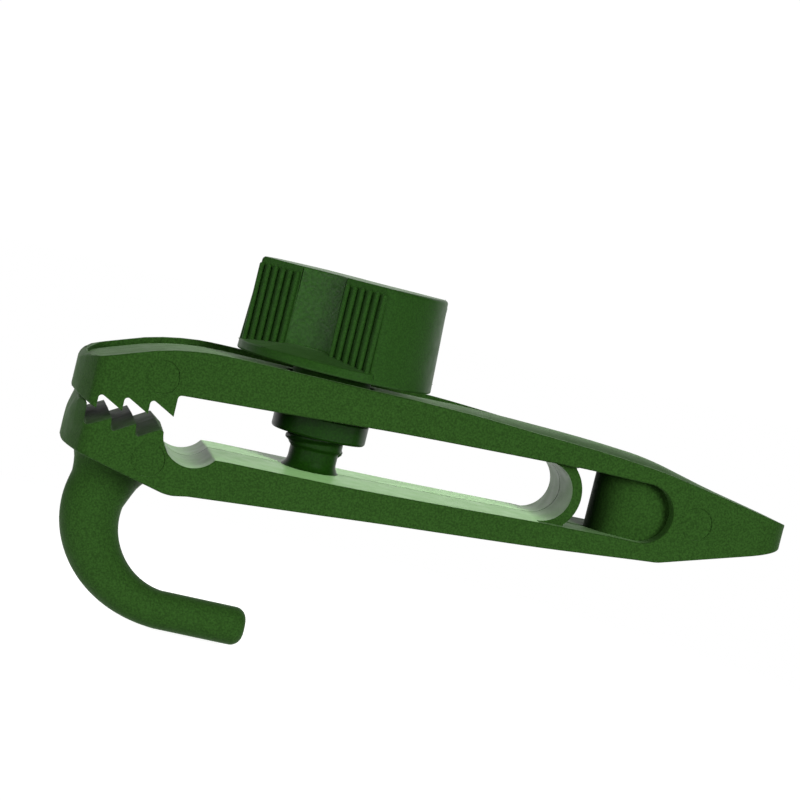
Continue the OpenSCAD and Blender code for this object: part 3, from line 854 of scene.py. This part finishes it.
def makePlastic(name):
    p = plastics[name]
    mat = bpy.data.materials.new(name)
    mat.use_nodes = True
    nodes, links = mat.node_tree.nodes, mat.node_tree.links
    nodes.clear()

    def add(kind, x, y, **values):
        node = nodes.new(kind)
        node.location = (x, y)
        for key, value in values.items():
            setattr(node, key, value)
        return node

    def noise(scale, detail, x, y):
        node = add("ShaderNodeTexNoise", x, y)
        node.inputs["Scale"].default_value = scale
        node.inputs["Detail"].default_value = detail
        links.new(coords.outputs["Object"], node.inputs["Vector"])
        return node.outputs["Fac"]

    def spread(source, low, high, fromLow, fromHigh, x, y):
        node = add("ShaderNodeMapRange", x, y)
        for key, value in (("From Min", fromLow), ("From Max", fromHigh),
                           ("To Min", low), ("To Max", high)):
            node.inputs[key].default_value = value
        links.new(source, node.inputs["Value"])
        return node.outputs["Result"]

    out = add("ShaderNodeOutputMaterial", 900, 0)
    shader = add("ShaderNodeBsdfPrincipled", 600, 0)
    shader.inputs["IOR"].default_value = resin["ior"]
    shader.inputs["Specular IOR Level"].default_value = p["level"]
    shader.inputs["Sheen Weight"].default_value = p["sheen"]
    shader.inputs["Sheen Roughness"].default_value = resin["sheenRough"]
    shader.inputs["Sheen Tint"].default_value = resin["sheenTint"]
    coords = add("ShaderNodeTexCoord", -900, 0)
    # fine speckle in the colour, slow change in the roughness, spark grain in the surface
    blend = add("ShaderNodeMix", 100, 150, data_type="RGBA")
    for key, side in (("A", -1), ("B", 1)):
        shade = tuple(c * (1 + side * p["spread"]) for c in p["colour"])
        blend.inputs[key].default_value = shade + (1,)
    speckle = spread(noise(p["size"], 3.0, -600, 0), 0.0, 1.0, *resin["speckle"], -300, 0)
    links.new(speckle, blend.inputs["Factor"])
    links.new(blend.outputs["Result"], shader.inputs["Base Color"])
    slow = noise(resin["wearSize"], 3.0, -600, 250)
    wear = spread(slow, *p["rough"], *resin["wear"], -300, 250)
    links.new(wear, shader.inputs["Roughness"])
    bump = add("ShaderNodeBump", 300, -250)
    bump.inputs["Strength"].default_value = p["grain"]
    bump.inputs["Distance"].default_value = resin["grainHeight"]
    grain = noise(p["size"] * resin["grainShare"], 2.0, -600, -250)
    links.new(grain, bump.inputs["Height"])
    links.new(bump.outputs["Normal"], shader.inputs["Normal"])
    links.new(shader.outputs["BSDF"], out.inputs["Surface"])
    return mat


finish = {name: makePlastic(name) for name in plastics}


def coat(piece, *names):
    piece.data.materials.clear()
    for name in names:
        piece.data.materials.append(finish[name])
    for poly in piece.data.polygons:
        poly.material_index = 0


coat(upper, "mouldedPlastic", "slotPaintedReflection")
coat(lower, "mouldedPlastic", "slotPaintedReflection")
coat(stud, "screwPaintedShade")
coat(collar, "screwPaintedShade")
coat(knob, "knobPlastic", "scoopPlastic")

# where the second finish of a piece begins and ends; in the mouldings it is the slot's painted
# reflection
slotZone = {
    "x": (-3.2, 62.0), "sideTurn": 0.5, "webOver": 0.25,
    "floorX": 3.0, "floorZ": (-3.0, 1.5), "cradleX": 4.5, "cradleZ": (-7.5, 0.4), "downTurn": -0.6,
}
scoopZone = {"faceGap": 0.01, "lowGap": 2, "topGap": 0.1, "hubGap": 1}


def markScoops():
    # the thumb scoops have a coarser grain than the rest of the knob
    k, g = knobSizes, scoopZone
    t = math.radians(-k["gripTurn"])
    for poly in knob.data.polygons:
        c = poly.center / mm
        c.x -= moulding["studX"]
        u, w = c.x * math.cos(t) - c.y * math.sin(t), c.x * math.sin(t) + c.y * math.cos(t)
        inside = abs(u) < k["scoopW"] / 2 and abs(w) < k["gripHalf"] - g["faceGap"]
        level = k["lowZ"] + g["lowGap"] < c.z < k["topZ"] - g["topGap"]
        offHub = math.hypot(u, w) > k["hubR"] + g["hubGap"]
        poly.material_index = 1 if inside and level and offHub else 0


def markSlotPaintedReflection(piece):
    # the slot, the web's inside and the cord cradle are smoother and painted lighter: a painted
    # reflection of the bright wall at grazing angles
    webX, g = moulding["webX"], slotZone
    webR, webZ = webCircle()
    for poly in piece.data.polygons:
        x, y, z = poly.center / mm
        if abs(poly.normal.y) > g["sideTurn"] or not g["x"][0] < x < g["x"][1]:
            continue
        web = x > webX and math.hypot(x - webX, z - webZ) < webR + g["webOver"]
        flat = g["floorX"] < x <= webX and g["floorZ"][0] < z < g["floorZ"][1]
        trough = x <= g["cradleX"] and g["cradleZ"][0] < z < g["cradleZ"][1]
        cradle = trough and poly.normal.z > g["downTurn"]
        poly.material_index = 1 if web or flat or cradle else 0


markScoops()
markSlotPaintedReflection(lower)
markSlotPaintedReflection(upper)
print("finishes", len(finish))

# ribs of the grip faces, repeated by Geometry Nodes
ribSizes = {"count": 6, "pitch": 1.31, "width": 0.72, "inset": 0.5, "stand": 0.22, "topGap": 0.9,
            "sunk": 0.3, "sides": 20, "rings": 12, "creaseAngle": 40}
ribInputs = {
    "Rib Count": "NodeSocketInt", "Pitch": "NodeSocketFloat", "Width": "NodeSocketFloat",
    "First Rib": "NodeSocketFloat", "Low End": "NodeSocketFloat", "High End": "NodeSocketFloat",
    "Face Distance": "NodeSocketFloat", "Face Turn": "NodeSocketFloat",
    "Stud Place": "NodeSocketFloat", "Finish": "NodeSocketMaterial",
}


def ribTree():
    # a row of ribs on each side of each scoop; a rib is a round bar with a round upper end
    tree = bpy.data.node_groups.new("knobRibs", "GeometryNodeTree")
    face = tree.interface
    sockets = {name: face.new_socket(name=name, in_out="INPUT", socket_type=kind).identifier
               for name, kind in ribInputs.items()}
    face.new_socket(name="Ribs", in_out="OUTPUT", socket_type="NodeSocketGeometry")
    nodes, links = tree.nodes, tree.links
    given = nodes.new("NodeGroupInput")
    result = nodes.new("NodeGroupOutput")

    def vector(x=None, y=None, z=None):
        node = nodes.new("ShaderNodeCombineXYZ")
        for axis, source in (("X", x), ("Y", y), ("Z", z)):
            if source is not None:
                links.new(source, node.inputs[axis])
        return node.outputs["Vector"]

    half = addMaths(tree, "MULTIPLY", given.outputs["Width"], 0.5)
    top = vector(z=addMaths(tree, "SUBTRACT", given.outputs["High End"], half))
    bar = nodes.new("GeometryNodeCurvePrimitiveLine")
    links.new(vector(z=given.outputs["Low End"]), bar.inputs["Start"])
    links.new(top, bar.inputs["End"])
    ring = nodes.new("GeometryNodeCurvePrimitiveCircle")
    ring.inputs["Resolution"].default_value = ribSizes["sides"]
    links.new(half, ring.inputs["Radius"])
    tube = nodes.new("GeometryNodeCurveToMesh")
    tube.inputs["Fill Caps"].default_value = True
    links.new(bar.outputs["Curve"], tube.inputs["Curve"])
    links.new(ring.outputs["Curve"], tube.inputs["Profile Curve"])
    ball = nodes.new("GeometryNodeMeshUVSphere")
    ball.inputs["Segments"].default_value = ribSizes["sides"]
    ball.inputs["Rings"].default_value = ribSizes["rings"]
    links.new(half, ball.inputs["Radius"])
    lift = nodes.new("GeometryNodeTransform")
    links.new(ball.outputs["Mesh"], lift.inputs["Geometry"])
    links.new(top, lift.inputs["Translation"])
    rib = nodes.new("GeometryNodeJoinGeometry")
    links.new(tube.outputs["Mesh"], rib.inputs["Geometry"])
    links.new(lift.outputs["Geometry"], rib.inputs["Geometry"])
    row = nodes.new("GeometryNodeJoinGeometry")
    for side in (-1, 1):
        line = nodes.new("GeometryNodeMeshLine")
        first = addMaths(tree, "MULTIPLY", given.outputs["First Rib"], side)
        out = addMaths(tree, "MULTIPLY", given.outputs["Face Distance"], -1)
        pitch = addMaths(tree, "MULTIPLY", given.outputs["Pitch"], side)
        links.new(given.outputs["Rib Count"], line.inputs["Count"])
        links.new(vector(x=first, y=out), line.inputs["Start Location"])
        links.new(vector(x=pitch), line.inputs["Offset"])
        spread = nodes.new("GeometryNodeInstanceOnPoints")
        links.new(line.outputs["Mesh"], spread.inputs["Points"])
        links.new(rib.outputs["Geometry"], spread.inputs["Instance"])
        links.new(spread.outputs["Instances"], row.inputs["Geometry"])
    both = nodes.new("GeometryNodeJoinGeometry")
    for extra in (0, math.pi):
        turned = nodes.new("GeometryNodeTransform")
        links.new(row.outputs["Geometry"], turned.inputs["Geometry"])
        turn = addMaths(tree, "ADD", given.outputs["Face Turn"], extra)
        links.new(vector(z=turn), turned.inputs["Rotation"])
        links.new(turned.outputs["Geometry"], both.inputs["Geometry"])
    placed = nodes.new("GeometryNodeTransform")
    links.new(both.outputs["Geometry"], placed.inputs["Geometry"])
    links.new(vector(x=given.outputs["Stud Place"]), placed.inputs["Translation"])
    real = nodes.new("GeometryNodeRealizeInstances")
    paint = nodes.new("GeometryNodeSetMaterial")
    links.new(placed.outputs["Geometry"], real.inputs["Geometry"])
    links.new(real.outputs["Geometry"], paint.inputs["Geometry"])
    links.new(given.outputs["Finish"], paint.inputs["Material"])
    links.new(paint.outputs["Geometry"], result.inputs["Ribs"])
    return tree, sockets


def makeRibs():
    k, r = knobSizes, ribSizes
    tree, sockets = ribTree()
    holder = bpy.data.objects.new("knobRibs", bpy.data.meshes.new("knobRibs"))
    bpy.context.collection.objects.link(holder)
    mod = holder.modifiers.new("ribs", "NODES")
    mod.node_group = tree
    values = {
        "Rib Count": r["count"], "Pitch": r["pitch"] * mm, "Width": r["width"] * mm,
        "First Rib": (k["scoopW"] / 2 + r["inset"]) * mm,
        "Low End": (k["lowZ"] + k["ringH"] - r["sunk"]) * mm,
        "High End": (k["topZ"] - r["topGap"]) * mm,
        "Face Distance": (k["gripHalf"] + r["stand"]) * mm,
        "Face Turn": math.radians(k["gripTurn"]),
        "Stud Place": moulding["studX"] * mm,
        "Finish": finish["knobPlastic"],
    }
    for name, value in values.items():
        mod[sockets[name]] = value
    return finishShading(holder, r["creaseAngle"])


ribs = makeRibs()
print("ribs", len(ribs.data.polygons))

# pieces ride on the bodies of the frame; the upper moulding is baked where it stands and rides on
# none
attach(lower, "lower_body")
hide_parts("lower_jaw", "lower_arm", "hook", "spring_web", "tail_block", "upper_rail")
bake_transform(upper)
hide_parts("upper_jaw")
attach(stud, "lower_body")
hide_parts("threaded_stud")
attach(collar, "collar")
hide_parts("retaining_collar")
for piece in (knob, ribs):
    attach(piece, "knob")
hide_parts("knob")
print("pieces ride")

# floor, lamps and world; places and sizes in metres but for the floor's height
studio = {
    "floorZ": -31.6, "floorSize": 3.0, "floorColour": 0.8, "floorGlow": 0.74,
    "whiteFrom": 0.05, "whiteTo": 0.15, "clipX": 0.02, "aim": (0.03, 0, 0),
    "keyLamp": {"place": (0.36, -0.86, 0.20), "size": 0.3, "watts": 8.6},
    "sideLamp": {"place": (-0.78, -0.36, 0.18), "size": 0.35, "watts": 4.0},
    "topLamp": {"place": (-0.05, 0.30, 0.80), "size": 0.6, "watts": 1.5},
    # parts of the world: direction, the cosines between which they fade in, strength
    "wall": ((0.1, 1.0, 0.0), 0.35, 0.85, 1.0),
    "softBox": ((0.30, -0.78, 0.52), 0.88, 0.97, 1.0),
    "room": 0.015,
}


def makeFloor():
    # the floor takes shadows near the clip and is plain white further out
    bm = bmesh.new()
    s = studio["floorSize"] / 2
    z = studio["floorZ"] * mm
    bm.faces.new([bm.verts.new(p) for p in ((-s, -s, z), (s, -s, z), (s, s, z), (-s, s, z))])
    floor = newObject("studioFloor", bm)
    mat = bpy.data.materials.new("paleFloor")
    mat.use_nodes = True
    nodes, links = mat.node_tree.nodes, mat.node_tree.links
    nodes.clear()
    out = nodes.new("ShaderNodeOutputMaterial")
    plain = nodes.new("ShaderNodeBsdfDiffuse")
    plain.inputs["Color"].default_value = (studio["floorColour"],) * 3 + (1,)
    path = nodes.new("ShaderNodeLightPath").outputs
    seen = addMaths(mat.node_tree, "MAXIMUM", path["Is Camera Ray"], path["Is Glossy Ray"])
    glows = []
    for strength in (studio["floorGlow"], 1.0):
        glow = nodes.new("ShaderNodeEmission")
        level = addMaths(mat.node_tree, "MULTIPLY", seen, strength)
        links.new(level, glow.inputs["Strength"])
        glows.append(glow)
    both = nodes.new("ShaderNodeAddShader")
    links.new(plain.outputs["BSDF"], both.inputs[0])
    links.new(glows[0].outputs["Emission"], both.inputs[1])
    coords = nodes.new("ShaderNodeTexCoord")
    apart = nodes.new("ShaderNodeVectorMath")
    apart.operation = "DISTANCE"
    apart.inputs[1].default_value = (studio["clipX"], 0.0, z)
    links.new(coords.outputs["Object"], apart.inputs[0])
    far = nodes.new("ShaderNodeMapRange")
    far.interpolation_type = "SMOOTHSTEP"
    far.inputs["From Min"].default_value = studio["whiteFrom"]
    far.inputs["From Max"].default_value = studio["whiteTo"]
    links.new(apart.outputs["Value"], far.inputs["Value"])
    mix = nodes.new("ShaderNodeMixShader")
    links.new(far.outputs["Result"], mix.inputs["Fac"])
    links.new(both.outputs["Shader"], mix.inputs[1])
    links.new(glows[1].outputs["Emission"], mix.inputs[2])
    links.new(mix.outputs["Shader"], out.inputs["Surface"])
    floor.data.materials.append(mat)


def makeLamp(name):
    lamp = studio[name]
    data = bpy.data.lights.new(name, "AREA")
    data.shape = "SQUARE"
    data.size = lamp["size"]
    data.energy = lamp["watts"]
    light = bpy.data.objects.new(name, data)
    light.location = lamp["place"]
    aim = Vector(studio["aim"]) - Vector(lamp["place"])
    light.rotation_euler = aim.to_track_quat("-Z", "Y").to_euler()
    light.visible_glossy = False
    bpy.context.collection.objects.link(light)


def makeWorld():
    # a white wall behind the clip, a soft box high at the front right, a dark room beside them
    world = bpy.data.worlds.new("studioWorld")
    bpy.context.scene.world = world
    world.use_nodes = True
    nodes, links = world.node_tree.nodes, world.node_tree.links
    nodes.clear()
    coords = nodes.new("ShaderNodeTexCoord")

    def patch(way, fromLow, fromHigh, strength):
        # bright around one direction, fading between two cosines
        dot = nodes.new("ShaderNodeVectorMath")
        dot.operation = "DOT_PRODUCT"
        links.new(coords.outputs["Generated"], dot.inputs[0])
        dot.inputs[1].default_value = Vector(way).normalized()
        fade = nodes.new("ShaderNodeMapRange")
        fade.interpolation_type = "SMOOTHSTEP"
        for key, value in (("From Min", fromLow), ("From Max", fromHigh),
                           ("To Min", 0.0), ("To Max", strength)):
            fade.inputs[key].default_value = value
        links.new(dot.outputs["Value"], fade.inputs["Value"])
        return fade.outputs["Result"]

    both = addMaths(world.node_tree, "ADD", patch(*studio["wall"]), patch(*studio["softBox"]))
    level = addMaths(world.node_tree, "ADD", both, studio["room"])
    seen = nodes.new("ShaderNodeLightPath").outputs["Is Camera Ray"]
    light = nodes.new("ShaderNodeBackground")
    light.inputs["Color"].default_value = (1, 1, 1, 1)
    strength = addMaths(world.node_tree, "MAXIMUM", level, seen)
    links.new(strength, light.inputs["Strength"])
    out = nodes.new("ShaderNodeOutputWorld")
    links.new(light.outputs["Background"], out.inputs["Surface"])


makeFloor()
for lampName in ("keyLamp", "sideLamp", "topLamp"):
    makeLamp(lampName)
makeWorld()
bpy.context.scene.view_settings.view_transform = "Standard"
print("studio set")
